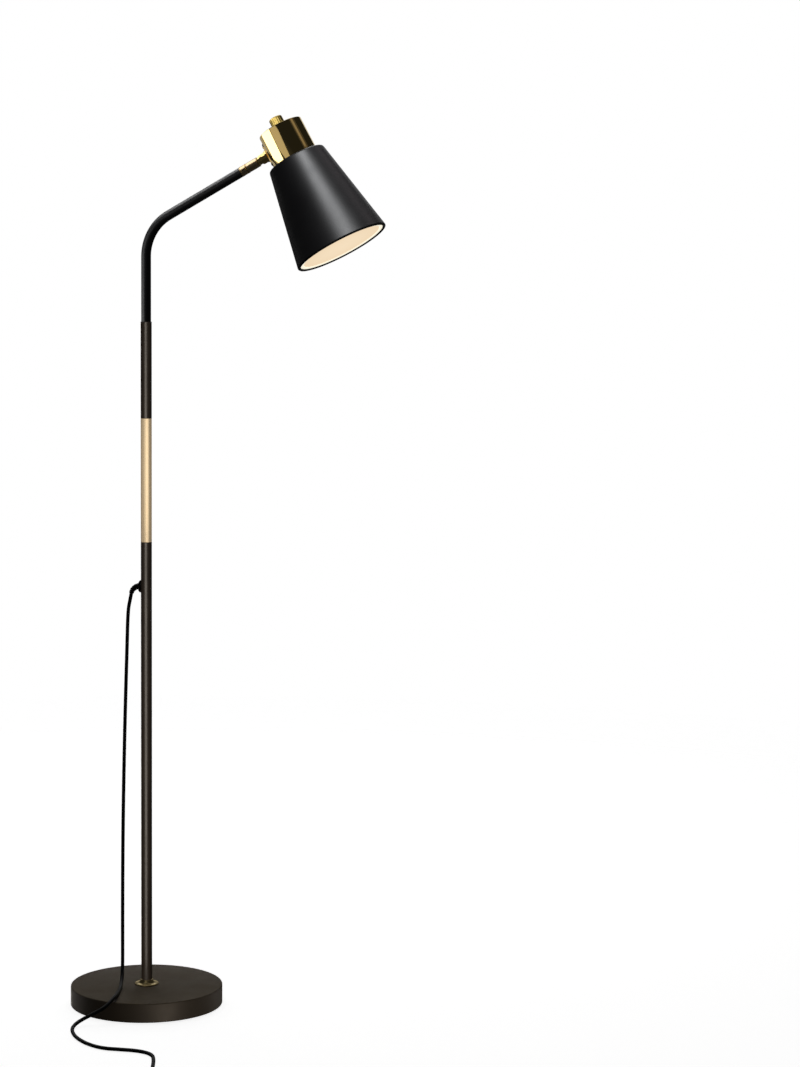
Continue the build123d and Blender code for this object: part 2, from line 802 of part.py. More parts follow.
with BuildPart() as bezel_ring:
    turn(
        head,
        [
            (bezel_inner, bezel_top), (bezel_outer, bezel_top), (bezel_outer, bezel_bottom),
            (bezel_inner + 0.8, bezel_bottom), (bezel_inner, bezel_bottom + 0.8),
        ],
    )
write(bezel_ring, "bezel_ring")

with BuildPart() as diffuser:
    turn(
        head,
        [
            (0, bezel_top + 2), (diffuser_step, bezel_top + 2), (diffuser_step, bezel_top),
            (bezel_inner - 0.2, bezel_top), (bezel_inner - 0.2, bezel_bottom + 0.9),
            (0, bezel_bottom + 0.9),
        ],
    )
write(diffuser, "diffuser")
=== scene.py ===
import math

import bmesh
import bpy
from mathutils import Matrix, Vector


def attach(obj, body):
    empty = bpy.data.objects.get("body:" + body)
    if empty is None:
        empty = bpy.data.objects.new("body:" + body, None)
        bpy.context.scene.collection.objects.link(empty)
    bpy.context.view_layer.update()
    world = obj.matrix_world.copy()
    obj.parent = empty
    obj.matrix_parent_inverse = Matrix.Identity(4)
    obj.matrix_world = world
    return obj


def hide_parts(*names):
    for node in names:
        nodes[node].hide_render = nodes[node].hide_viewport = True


# An adjustable arm floor lamp. Finer meshes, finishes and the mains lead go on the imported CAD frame,
# and the stage, the light and the camera of the photograph stand round it. Places are in metres, and
# the outlines and sections of turned and lofted pieces are in millimetres.

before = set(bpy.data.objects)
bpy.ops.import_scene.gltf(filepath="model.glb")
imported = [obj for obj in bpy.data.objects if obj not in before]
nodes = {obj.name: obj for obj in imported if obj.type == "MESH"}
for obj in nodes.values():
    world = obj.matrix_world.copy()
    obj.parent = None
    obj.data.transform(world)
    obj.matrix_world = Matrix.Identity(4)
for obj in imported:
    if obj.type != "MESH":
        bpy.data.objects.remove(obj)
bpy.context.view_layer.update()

MM = 0.001
UP = Vector((0, 0, 1))
SIDEWAYS = Vector((0, 1, 0))

# The frames of the CAD model: the sloping arm, the knuckle's pivot, and the head.
ARM_SLOPE = math.radians(28.5)
HEAD_SLOPE = math.radians(29.5)
ELBOW = Vector((0, 0, 1.2755))
ELBOW_TO_PIVOT = 0.231
PIVOT_TO_HEAD = 0.049
ARM_WAY = Vector((math.cos(ARM_SLOPE), 0, math.sin(ARM_SLOPE)))
HEAD_OUT = Vector((math.cos(HEAD_SLOPE), 0, math.sin(HEAD_SLOPE)))
HEAD_UP = Vector((-math.sin(HEAD_SLOPE), 0, math.cos(HEAD_SLOPE)))
PIVOT = ELBOW + ARM_WAY * ELBOW_TO_PIVOT


def frame_at(origin, x, y, z):
    """The matrix of a frame with its origin and its three directions."""
    return Matrix.Translation(origin) @ Matrix((x, y, z)).transposed().to_4x4()


def placed(origin, x_way, z_way):
    """The matrix of a frame with its origin, Z direction, and X as near to a direction as Z allows."""
    z = Vector(z_way).normalized()
    x = Vector(x_way)
    x = (x - z * x.dot(z)).normalized()
    return frame_at(origin, x, z.cross(x), z)


HEAD = placed(PIVOT + HEAD_OUT * PIVOT_TO_HEAD, HEAD_OUT, HEAD_UP)

# ---------------------------------------------------------------- camera

CAMERA_AZIMUTH = math.radians(24.75)
CAMERA_DISTANCE = 4.471
CAMERA_HEIGHT = 1.238
CAMERA_YAW = math.radians(5.3006)
CAMERA_PITCH = math.radians(5.8036)
CAMERA_ROLL = math.radians(0.4865)
CAMERA_LENS = 92.73
SENSOR_WIDTH = 36
TO_CAMERA = Vector((math.sin(CAMERA_AZIMUTH), -math.cos(CAMERA_AZIMUTH), 0))
TO_RIGHT = Vector((math.cos(CAMERA_AZIMUTH), math.sin(CAMERA_AZIMUTH), 0))


def make_camera():
    """A camera at the height of the lamp's upper part, turned so that the lamp stands at the left."""
    level = -TO_CAMERA * math.cos(CAMERA_YAW) + TO_RIGHT * math.sin(CAMERA_YAW)
    forward = level * math.cos(CAMERA_PITCH) - UP * math.sin(CAMERA_PITCH)
    side = forward.cross(UP).normalized()
    over = side.cross(forward)
    right = side * math.cos(CAMERA_ROLL) + over * math.sin(CAMERA_ROLL)
    top = over * math.cos(CAMERA_ROLL) - side * math.sin(CAMERA_ROLL)
    data = bpy.data.cameras.new("camera")
    data.lens = CAMERA_LENS
    data.sensor_width = SENSOR_WIDTH
    camera = bpy.data.objects.new("camera", data)
    place = TO_CAMERA * CAMERA_DISTANCE + UP * CAMERA_HEIGHT
    camera.matrix_world = frame_at(place, right, top, -forward)
    bpy.context.scene.collection.objects.link(camera)
    bpy.context.scene.camera = camera


make_camera()

# ---------------------------------------------------------------- materials


class Nodes:
    """A node tree, with short ways to add the nodes used here."""

    def __init__(self, tree, coordinate):
        self.tree = tree
        self.place = self.add("ShaderNodeTexCoord").outputs[coordinate]

    def add(self, kind, **inputs):
        node = self.tree.nodes.new(kind)
        for name, value in inputs.items():
            self.put(node.inputs[name], value)
        return node

    def put(self, socket, value):
        if isinstance(value, bpy.types.NodeSocket):
            self.tree.links.new(value, socket)
        else:
            socket.default_value = value

    def stretched(self, scale):
        mapping = self.add("ShaderNodeMapping", Vector=self.place, Scale=scale)
        return mapping.outputs["Vector"]

    def noise(self, scale, detail=3.0, rough=0.5, where=None):
        node = self.add("ShaderNodeTexNoise", Scale=scale, Detail=detail, Roughness=rough)
        self.put(node.inputs["Vector"], where or self.place)
        return node.outputs["Fac"]

    def level(self, value, low, high, start=0.3, end=0.7):
        """A value that goes from low to high as another goes from start to end."""
        node = self.add("ShaderNodeMapRange", Value=value)
        for name, number in (("From Min", start), ("From Max", end), ("To Min", low), ("To Max", high)):
            node.inputs[name].default_value = number
        return node.outputs["Result"]

    def ramp(self, value, *stops):
        """A colour from stops (position, colour)."""
        node = self.add("ShaderNodeValToRGB", Fac=value)
        ramp = node.color_ramp
        while len(ramp.elements) < len(stops):
            ramp.elements.new(0.5)
        for element, (position, colour) in zip(ramp.elements, stops):
            element.position = position
            element.color = (*colour, 1)
        return node.outputs["Color"]

    def maths(self, operation, *values):
        node = self.tree.nodes.new("ShaderNodeMath")
        node.operation = operation
        for socket, value in zip(node.inputs, values):
            self.put(socket, value)
        return node.outputs["Value"]

    def blend(self, first, second, share):
        """The sum of two values, the first weighted by its share and the second by the rest."""
        parts = self.maths("MULTIPLY", first, share), self.maths("MULTIPLY", second, 1 - share)
        return self.maths("ADD", *parts)

    def from_axis(self):
        """The distance from the object's Z axis."""
        split = self.add("ShaderNodeSeparateXYZ", Vector=self.place)
        squares = [self.maths("MULTIPLY", split.outputs[axis], split.outputs[axis]) for axis in "XY"]
        return self.maths("SQRT", self.maths("ADD", *squares))


class Look(Nodes):
    """A new material's node tree, with its shader."""

    def __init__(self, name):
        self.material = bpy.data.materials.new(name)
        self.material.use_nodes = True
        super().__init__(self.material.node_tree, "Object")
        self.shader = self.tree.nodes["Principled BSDF"]

    def set(self, **values):
        for name, value in values.items():
            self.put(self.shader.inputs[name.replace("_", " ")], value)

    def bump(self, height, distance):
        node = self.add("ShaderNodeBump", Height=height, Distance=distance, Strength=1.0)
        self.set(Normal=node.outputs["Normal"])


# Scales that stretch a metal's noise into lines round the piece or along it, or leave it as a grain.
ROUND_LINES = (40.0, 40.0, 5000.0)
LONG_LINES = (3000.0, 3000.0, 80.0)
CAST_GRAIN = (400.0, 400.0, 400.0)


def paint(name, dark, light, rough, grain=700.0, depth=0.00001, **more):
    """Powder coat: a fine orange peel, a slow drift of gloss, and specks a shade lighter."""
    look = Look(name)
    mixed = look.blend(look.noise(9.0, 4.0), look.noise(grain * 2.2, 2.0), 0.7)
    look.set(Base_Color=look.ramp(mixed, (0.35, dark), (0.65, light)))
    look.set(Roughness=look.level(look.noise(22.0, 5.0), *rough))
    look.bump(look.noise(grain, 3.0, 0.6), depth)
    look.set(**more)
    return look.material


def metal(name, dark, light, rough, lines=ROUND_LINES, depth=0.0000004):
    """Metal with the fine lines of its polishing, or a cast grain."""
    look = Look(name)
    stroke = look.noise(1.0, 4.0, 0.65, look.stretched(lines))
    mixed = look.blend(stroke, look.noise(14.0, 3.0), 0.45)
    look.set(Base_Color=look.ramp(mixed, (0.3, dark), (0.7, light)), Metallic=1.0)
    look.set(Roughness=look.level(mixed, *rough))
    look.bump(stroke, depth)
    return look.material


def moulded(name, dark, light, rough, grain=1600.0, depth=0.00002, **more):
    """Moulded plastic or rubber: a fine spark-eroded grain and faint flow marks."""
    look = Look(name)
    look.set(Base_Color=look.ramp(look.noise(60.0, 4.0), (0.3, dark), (0.7, light)))
    look.set(Roughness=look.level(look.noise(grain, 2.0), *rough))
    look.bump(look.noise(grain, 2.0), depth)
    look.set(**more)
    return look.material


def lit_opal(name, radius):
    """A lit opal disc: warm light, a little weaker and warmer towards the rim."""
    look = Look(name)
    cloud = look.maths("MULTIPLY", look.noise(70.0, 3.0), 0.006)
    glow = look.ramp(
        look.level(look.maths("ADD", look.from_axis(), cloud), 0.0, 1.0, 0.0, radius),
        (0.0, (0.90, 0.73, 0.515)), (0.55, (0.885, 0.715, 0.50)), (1.0, (0.86, 0.68, 0.465)),
    )
    body = look.ramp(look.noise(70.0, 3.0), (0.3, (0.10, 0.09, 0.075)), (0.7, (0.13, 0.115, 0.10)))
    look.set(Base_Color=body, Emission_Color=glow, Emission_Strength=1.01)
    look.set(Roughness=look.level(look.noise(900.0, 2.0), 0.45, 0.55))
    look.bump(look.noise(1500.0, 2.0), 0.00002)
    return look.material


finishes = {}


def finish(slot, kind, *values, **more):
    """Make a slot's finish. The values are its dark and light colours and its range of roughness."""
    finishes[slot] = kind(slot + "_look", *values, **more)


finish(
    "base_paint", paint, (0.017, 0.0130, 0.0088), (0.028, 0.0215, 0.0145), (0.5, 0.6),
    grain=900.0, depth=0.000014, Specular_Tint=(1.0, 0.88, 0.74, 1),
)
finish("pole_paint", paint, (0.013, 0.010, 0.008), (0.022, 0.017, 0.013), (0.34, 0.42))
finish("arm_paint", paint, (0.006, 0.006, 0.0065), (0.011, 0.011, 0.0125), (0.38, 0.46))
finish("shade_paint", paint, (0.0028, 0.0026, 0.003), (0.0055, 0.005, 0.0058), (0.40, 0.46))
finish("white_paint", paint, (0.76, 0.75, 0.72), (0.84, 0.83, 0.80), (0.45, 0.55))
finish("screw_black", paint, (0.008, 0.008, 0.008), (0.016, 0.015, 0.014), (0.3, 0.42))
finish("polished_brass", metal, (0.83, 0.61, 0.23), (0.88, 0.67, 0.28), (0.05, 0.09))
finish("satin_brass", metal, (0.76, 0.56, 0.33), (0.83, 0.64, 0.40), (0.22, 0.30))
finish("knob_brass", metal, (0.84, 0.60, 0.16), (0.92, 0.69, 0.22), (0.30, 0.40))
finish("dull_brass", metal, (0.52, 0.41, 0.19), (0.72, 0.58, 0.30), (0.25, 0.38))
finish("blade_brass", metal, (0.72, 0.58, 0.30), (0.82, 0.68, 0.38), (0.18, 0.3), lines=LONG_LINES)
finish("steel", metal, (0.50, 0.49, 0.47), (0.62, 0.61, 0.59), (0.3, 0.45))
finish("iron", metal, (0.10, 0.095, 0.09), (0.20, 0.19, 0.18), (0.55, 0.75), lines=CAST_GRAIN, depth=0.0002)
finish("sink_aluminium", metal, (0.60, 0.60, 0.61), (0.72, 0.72, 0.73), (0.3, 0.42))
finish(
    "pad_rubber", moulded, (0.012, 0.012, 0.012), (0.022, 0.021, 0.02), (0.75, 0.9),
    grain=900.0, depth=0.0001,
)
finish(
    "tie_rubber", moulded, (0.016, 0.016, 0.016), (0.028, 0.027, 0.026), (0.6, 0.75),
    grain=1200.0, depth=0.00006,
)
finish("cord_pvc", moulded, (0.0035, 0.0045, 0.0042), (0.007, 0.0085, 0.008), (0.38, 0.5))
finish("nylon", moulded, (0.60, 0.58, 0.53), (0.70, 0.68, 0.62), (0.4, 0.5))
finish("wire_sleeve", moulded, (0.55, 0.54, 0.5), (0.66, 0.65, 0.6), (0.4, 0.5))
finish("dimmer_case", moulded, (0.03, 0.03, 0.032), (0.05, 0.05, 0.052), (0.45, 0.55))
finish("board", moulded, (0.68, 0.68, 0.66), (0.78, 0.78, 0.76), (0.35, 0.45))
finish("led", moulded, (0.75, 0.62, 0.16), (0.85, 0.74, 0.28), (0.3, 0.4))
# The bezel ring is a white moulding with a cream glow. The glow is painted light: the diffuser's spill
# painted onto a ring that is no lamp.
finish(
    "bezel_white", moulded, (0.50, 0.48, 0.42), (0.56, 0.54, 0.47), (0.35, 0.45),
    Emission_Color=(1.0, 0.94, 0.76, 1), Emission_Strength=0.95,
)

DIFFUSER_RADIUS = 66.6
finishes["opal"] = lit_opal("opal_look", DIFFUSER_RADIUS * MM)

for node in nodes.values():
    for holder in node.material_slots:
        holder.material = finishes[holder.material.name.split(".")[0]]

# ---------------------------------------------------------------- building pieces


def link(name, data, slot, body, *replaced, matrix=None):
    """An object of this data, placed, painted with its slot's finish and riding on its body."""
    piece = bpy.data.objects.new(name, data)
    bpy.context.scene.collection.objects.link(piece)
    if matrix is not None:
        piece.matrix_world = matrix
    data.materials.append(finishes[slot])
    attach(piece, body)
    if replaced:
        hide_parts(*replaced)
    return piece


def to_mesh(name, mesh, smooth_under=35.0):
    """The mesh data of a finished bmesh, smooth but for edges sharper than an angle."""
    bmesh.ops.remove_doubles(mesh, verts=mesh.verts, dist=1e-7)
    bmesh.ops.recalc_face_normals(mesh, faces=mesh.faces)
    data = bpy.data.meshes.new(name)
    mesh.to_mesh(data)
    mesh.free()
    data.shade_smooth()
    data.set_sharp_from_angle(angle=math.radians(smooth_under))
    return data


def neighbours(rows, closed):
    """Each row with the next one, and the last with the first if the rows close on themselves."""
    return zip(rows, rows[1:] + rows[:1] if closed else rows[1:])


# ---------------------------------------------------------------- the cord

CORD_RADIUS = 3.0 * MM
CORD_EXIT = (-0.02687, 0, 0.68312)
CORD_WAY = Vector((-0.2079, 0, -0.9781))
CORD_INSIDE = 0.004
CORD_STRAIGHT = 0.012

# The coil: the lead goes round once, then inside its first turn, and ends on top, between the two.
COIL_CENTRE = Vector((0.2389, -0.4136, 0))
COIL_ENTRY = 204.0
COIL_HEADING = math.radians(COIL_ENTRY + 90)
COIL_OUTER = 0.038
COIL_INNER = 0.032
COIL_MIDDLE = (COIL_OUTER + COIL_INNER) / 2
COIL_TURNS = 2.25
COIL_STEP = 22.5
LOW_LAYER = 0.0039
TOP_LAYER = 0.0099
TAIL_HEIGHT = 0.0097
# The degrees turned while the lead moves inwards, climbs, and moves out to the middle.
MOVES_IN = (270, 360)
CLIMBS = (520, 625)
MOVES_OUT = (585, 675)

PLUG_GAP = 0.045
PLUG_RELIEF = 0.022
PLUG_LENGTH = 0.033

# Down beside the pole, over the base and off its edge, and in an S across the floor.
cord_route = [
    (-0.0331, 0, 0.6538), (-0.0346, -0.0005, 0.594), (-0.037, -0.0014, 0.510), (-0.0388, -0.0026, 0.425),
    (-0.0398, -0.0044, 0.340), (-0.0399, -0.0068, 0.255), (-0.0392, -0.0094, 0.172),
    (-0.0383, -0.0116, 0.104), (-0.0379, -0.0124, 0.0625), (-0.0285, -0.0368, 0.0364),
    (-0.0112, -0.0904, 0.0364), (-0.0018, -0.1212, 0.041), (-0.0068, -0.142, 0.029),
    (-0.0279, -0.1536, 0.017), (-0.0435, -0.1628, 0.0082), (-0.0466, -0.1805, 0.0034),
    (-0.0365, -0.2045, 0.0032), (-0.0154, -0.2334, 0.0032), (0.0157, -0.259, 0.0032),
    (0.0491, -0.2726, 0.0032), (0.0798, -0.2677, 0.0032), (0.109, -0.2645, 0.0032),
    (0.135, -0.2737, 0.0032), (0.1508, -0.3006, 0.0034),
]


def near_coil(along, across, height):
    """A point given along and across the direction in which the lead reaches the coil."""
    way = Vector((math.cos(COIL_HEADING), math.sin(COIL_HEADING), 0))
    side = Vector((-math.sin(COIL_HEADING), math.cos(COIL_HEADING), 0))
    return COIL_CENTRE + way * along + side * across + UP * height


def ease(value, start, end, low, high):
    """A smooth step from low to high as value goes from start to end."""
    t = min(1.0, max(0.0, (value - start) / (end - start)))
    return low + (high - low) * t * t * (3 - 2 * t)


def coil_points():
    """Control points round the coil. They lie a little outside the circle that the lead follows."""
    outside = 1 / math.cos(math.radians(COIL_STEP / 2))
    points = []
    for step in range(round(COIL_TURNS * 360 / COIL_STEP) + 1):
        turned = step * COIL_STEP
        radius = ease(turned, *MOVES_IN, COIL_OUTER, COIL_INNER)
        radius += ease(turned, *MOVES_OUT, 0.0, COIL_MIDDLE - COIL_INNER)
        height = ease(turned, *CLIMBS, LOW_LAYER, TOP_LAYER)
        angle = math.radians(COIL_ENTRY + turned)
        spot = Vector((math.cos(angle), math.sin(angle), 0)) * radius * outside
        points.append(COIL_CENTRE + spot + UP * height)
    return points


def whole_route():
    """The lead's control points, from inside the grommet to inside the plug."""
    start = Vector(CORD_EXIT)
    route = [start - CORD_WAY * CORD_INSIDE, start + CORD_WAY * CORD_STRAIGHT]
    route += [Vector(point) for point in cord_route]
    route += [near_coil(-before, -COIL_OUTER, LOW_LAYER) for before in (0.062, 0.030)]
    route += coil_points()
    route += [near_coil(COIL_MIDDLE, after, TOP_LAYER) for after in (0.010, 0.022)]
    route += [near_coil(COIL_MIDDLE, after, TAIL_HEIGHT) for after in (0.034, PLUG_GAP + 0.002)]
    return route


def make_cord(name, points):
    """A round cord along one smooth line that has these control points."""
    data = bpy.data.curves.new(name, "CURVE")
    data.dimensions = "3D"
    data.bevel_depth = CORD_RADIUS
    data.bevel_resolution = 5
    data.resolution_u = 10
    data.use_fill_caps = True
    spline = data.splines.new("NURBS")
    spline.points.add(len(points) - 1)
    for point, place in zip(spline.points, points):
        point.co = (*place, 1)
    spline.order_u = 3
    spline.use_endpoint_u = True
    return data


power_cord = link(
    "power_cord", make_cord("power_cord", whole_route()), "cord_pvc", "base", "cord_lead", "cord_coil",
)

# ---------------------------------------------------------------- pieces on the cord


def loft(rings, closed=False):
    """Skin a row of equal rings of points, with a flat cap at each end unless the row closes on itself."""
    mesh = bmesh.new()
    rows = [[mesh.verts.new(point) for point in ring] for ring in rings]
    count = len(rows[0])
    for low, high in neighbours(rows, closed):
        for k in range(count):
            mesh.faces.new((low[k], low[(k + 1) % count], high[(k + 1) % count], high[k]))
    if not closed:
        mesh.faces.new(rows[0])
        mesh.faces.new(rows[-1])
    return mesh


def circle(where, radius, count=48):
    """A ring of points in the XY plane of a frame."""
    angles = [2 * math.pi * k / count for k in range(count)]
    return [where @ Vector((radius * MM * math.cos(a), radius * MM * math.sin(a), 0)) for a in angles]


def rounded_box(where, wide, high, corner, count=6):
    """A ring like a rectangle with rounded corners, in the XY plane of a frame."""
    ring = []
    for quarter, (sx, sy) in enumerate(((1, 1), (-1, 1), (-1, -1), (1, -1))):
        for k in range(count + 1):
            angle = math.pi / 2 * (quarter + k / count)
            x = sx * (wide / 2 - corner) + corner * math.cos(angle)
            y = sy * (high / 2 - corner) + corner * math.sin(angle)
            ring.append(where @ Vector((x * MM, y * MM, 0)))
    return ring


def ribbed(at, low, high, ribs, depth, radius_start, radius_end):
    """Stations (place, radius) along a tapered sleeve that has grooves between its ribs."""
    stations = []
    for rib in range(ribs):
        for part, sunk in ((0.0, 1), (0.10, 0.2), (0.18, 0), (0.62, 0), (0.72, 0.2), (0.82, 1)):
            t = (rib + part) / ribs
            radius = radius_start + (radius_end - radius_start) * t - sunk * depth
            stations.append((at(low + (high - low) * t), radius))
    stations.append((at(high), radius_end))
    return stations


GROMMET_HEIGHT = 0.695
GROMMET_FACE = 12.2
SLEEVE_BEND = 15.0
SLEEVE_START = 0.06
SLEEVE_END = math.radians(78)


def grommet_place(distance):
    """The section of the grommet's neck at a distance from the pole's axis, in millimetres."""
    return placed((-distance * MM, 0, GROMMET_HEIGHT), SIDEWAYS, (-1, 0, 0))


def sleeve_place(angle):
    """The section of the grommet's sleeve after it has turned down by an angle."""
    x = -GROMMET_FACE - SLEEVE_BEND * math.sin(angle)
    z = SLEEVE_BEND * (math.cos(angle) - 1)
    way = (-math.cos(angle), 0, -math.sin(angle))
    return placed((x * MM, 0, GROMMET_HEIGHT + z * MM), SIDEWAYS, way)


def make_strain_relief():
    """The grommet's flange and neck, and the ribbed sleeve that turns down round the lead."""
    neck = [
        (7.4, 5.9), (9.55, 5.9), (9.6, 8.8), (9.9, 9.6), (10.5, 10.1), (11.0, 9.6), (11.4, 8.4), (11.9, 6.6),
        (GROMMET_FACE, 5.5),
    ]
    sleeve = ribbed(
        sleeve_place, SLEEVE_START, SLEEVE_END, ribs=5, depth=0.7, radius_start=5.2, radius_end=3.9,
    )
    rings = [circle(grommet_place(distance), radius) for distance, radius in neck]
    rings += [circle(where, radius) for where, radius in sleeve]
    return to_mesh("strain_relief_ribbed", loft(rings))


link("strain_relief_ribbed", make_strain_relief(), "cord_pvc", "base", "strain_relief")

# The lead's tail runs straight from the coil's end into the plug.
PLUG_WAY = (near_coil(0, 1, 0) - near_coil(0, 0, 0)).normalized()
PLUG_ACROSS = PLUG_WAY.cross(UP)
PLUG_START = near_coil(COIL_MIDDLE, 0, TAIL_HEIGHT) + PLUG_WAY * PLUG_GAP
NEARLY_ROUND = 0.98
RIDGES = 7
RIDGES_START = 0.14
RIDGES_SPAN = 0.56
BLADE_SPACING = 0.0127
BLADE_THICKNESS = 0.0015
BLADE_EDGE = 0.0002


def plug_place(distance):
    """The plug's section at a distance from the start of its relief, X up and Y across."""
    return placed(PLUG_START + PLUG_WAY * distance, UP, PLUG_WAY)


def plug_stations():
    """Sections (share of the length, width, height, corner): shoulders, finger ridges and flange."""
    shoulders = [
        (0.0, 12.0, 14.0, 5.2), (0.012, 13.6, 17.0, 4.8), (0.035, 14.6, 18.6, 4.4), (0.07, 15.0, 19.2, 4.2),
    ]
    ridged = []
    for ridge in range(RIDGES):
        for part, sunk in ((0.0, 0), (0.22, 0), (0.34, 1), (0.78, 1), (0.90, 0)):
            t = RIDGES_START + RIDGES_SPAN * (ridge + part) / RIDGES
            ridged.append((t, 15.2 + 2.0 * t - 1.1 * sunk, 19.4 + 6.0 * t, 3.8 - 0.5 * sunk))
    flange = [
        (0.74, 17.0, 24.2, 4.0), (0.80, 17.4, 25.0, 4.0), (0.815, 16.9, 24.5, 3.9), (0.83, 17.5, 25.2, 4.0),
        (0.97, 18.0, 26.0, 4.0), (0.99, 17.6, 25.6, 3.8), (1.0, 16.6, 24.6, 3.4),
    ]
    return shoulders + ridged + flange


def make_plug():
    """A moulded two-blade plug with its ribbed relief."""
    relief = ribbed(
        plug_place, 0.0, PLUG_RELIEF - 0.001, ribs=6, depth=0.65, radius_start=3.7, radius_end=5.2,
    )
    rings = [rounded_box(where, 2 * radius, 2 * radius, radius * NEARLY_ROUND) for where, radius in relief]
    for t, wide, high, corner in plug_stations():
        rings.append(rounded_box(plug_place(PLUG_RELIEF + PLUG_LENGTH * t), wide, high, corner))
    return to_mesh("plug_moulded", loft(rings))


def arc(centre, radius, start, end, step=15):
    """Points on an arc, from one angle to another in degrees."""
    angles = [math.radians(degrees) for degrees in range(start, end, step)]
    return [(centre[0] + radius * math.cos(a), centre[1] + radius * math.sin(a)) for a in angles]


def make_blade():
    """A plug blade in its own frame: a flat tongue with a rounded tip and a hole, its edges eased."""
    data = bpy.data.curves.new("blade", "CURVE")
    data.dimensions = "2D"
    data.fill_mode = "BOTH"
    data.extrude = BLADE_THICKNESS / 2 - BLADE_EDGE
    data.bevel_depth = BLADE_EDGE
    data.bevel_resolution = 2
    half, root, length, tip = 0.00295, -0.002, 0.0168, 0.0016
    right = [(half, length - tip), *arc((half - tip, length - tip), tip, 15, 91)]
    outline = [(-half, root), (half, root), *right, *((-x, y) for x, y in reversed(right))]
    hole = arc((0, 0.0125), 0.0016, 0, 360)
    for points in (outline, hole):
        spline = data.splines.new("POLY")
        spline.points.add(len(points) - 1)
        for point, (x, y) in zip(spline.points, points):
            point.co = (x, y, 0, 1)
        spline.use_cyclic_u = True
    holder = bpy.data.objects.new("blade", data)
    mesh = bmesh.new()
    mesh.from_mesh(bpy.data.meshes.new_from_object(holder))
    bpy.data.objects.remove(holder)
    bpy.data.curves.remove(data)
    return to_mesh("blade", mesh)


plug = link("plug_moulded", make_plug(), "cord_pvc", "base", "plug_body")
for number, side in enumerate((-1, 1)):
    # The blade's own Y runs out of the plug, its X up, and its Z across.
    foot = PLUG_START + PLUG_WAY * (PLUG_RELIEF + PLUG_LENGTH) + PLUG_ACROSS * side * BLADE_SPACING / 2
    where = frame_at(foot, UP, PLUG_WAY, -PLUG_ACROSS)
    name = f"plug_blade_{number + 1}"
    link(name, make_blade(), "blade_brass", "base", "plug_blades", matrix=where)

TIE_TURN = 0.6
TIE_HEIGHT = 0.0068
TIE_WIDE = 15.8
TIE_HIGH = 13.4


def make_tie():
    """A rubber strap round the coil, its outer edges eased."""
    spot = near_coil(-COIL_MIDDLE * math.cos(TIE_TURN), COIL_MIDDLE * math.sin(TIE_TURN), TIE_HEIGHT)
    radial = (spot - near_coil(0, 0, TIE_HEIGHT)).normalized()
    along = radial.cross(UP)
    outside = [(-3.9, 0.45), (-3.6, 0.1), (-3.2, 0), (3.2, 0), (3.6, 0.1), (3.9, 0.45)]
    sections = [(offset, TIE_WIDE - inset, TIE_HIGH - inset, 3.4) for offset, inset in outside]
    sections += [(offset, 14.7, 12.5, 3.0) for offset in (3.9, -3.9)]
    rings = []
    for offset, wide, high, corner in sections:
        rings.append(rounded_box(placed(spot + along * offset * MM, radial, along), wide, high, corner, 8))
    return to_mesh("tie_strap", loft(rings, closed=True))


tie = link("tie_strap", make_tie(), "tie_rubber", "base", "cord_tie")

# ---------------------------------------------------------------- turned pieces


def rounded(points, steps=5):
    """Points (radius, height, fillet) as an outline whose corners are rounded by their fillets."""
    outline = []
    for index, (x, y, fillet) in enumerate(points):
        corner = Vector((x, y))
        if fillet == 0:
            outline.append((x, y))
            continue
        before = Vector(points[index - 1][:2]) - corner
        after = Vector(points[(index + 1) % len(points)][:2]) - corner
        half = before.angle(after) / 2
        reach = min(fillet / math.tan(half), before.length * 0.49, after.length * 0.49)
        start, end = corner + before.normalized() * reach, corner + after.normalized() * reach
        for k in range(steps + 1):
            t = k / steps
            outline.append(tuple(start * (1 - t) ** 2 + corner * 2 * t * (1 - t) + end * t * t))
    return outline


def lathe(name, outline, steps=144, closed=True, shape=None, smooth_under=35.0):
    """Turn an outline of (radius, height) about Z. shape may change a radius by height and angle."""
    mesh = bmesh.new()
    rows = []
    for radius, height in outline:
        if radius < 1e-6:
            rows.append([mesh.verts.new((0, 0, height * MM))])
            continue
        row = []
        for k in range(steps):
            angle = 2 * math.pi * k / steps
            reach = (shape(radius, height, angle) if shape else radius) * MM
            row.append(mesh.verts.new((reach * math.cos(angle), reach * math.sin(angle), height * MM)))
        rows.append(row)
    for low, high in neighbours(rows, closed):
        for k in range(steps):
            corners = [low[k % len(low)], low[(k + 1) % len(low)]]
            corners += [high[(k + 1) % len(high)], high[k % len(high)]]
            unique = list(dict.fromkeys(corners))
            if len(unique) > 2:
                mesh.faces.new(unique)
    return to_mesh(name, mesh, smooth_under)


def turned(name, slot, body, replaced, points, matrix=None, **more):
    """A turned piece that replaces a CAD node."""
    return link(name, lathe(name, rounded(points), **more), slot, body, replaced, matrix=matrix)


BASE_RADIUS = 125.0
BASE_TOP = 33.0
BASE_SKIN = 1.2
PAD_TOP = 1.5
BOLT_HOLE = 5.3
POLE_RADIUS = 9.0
POLE_BORE = 8.0
LOWER_JOINT = 768.0
UPPER_JOINT = 970.0
POLE_TOP = 1126.0

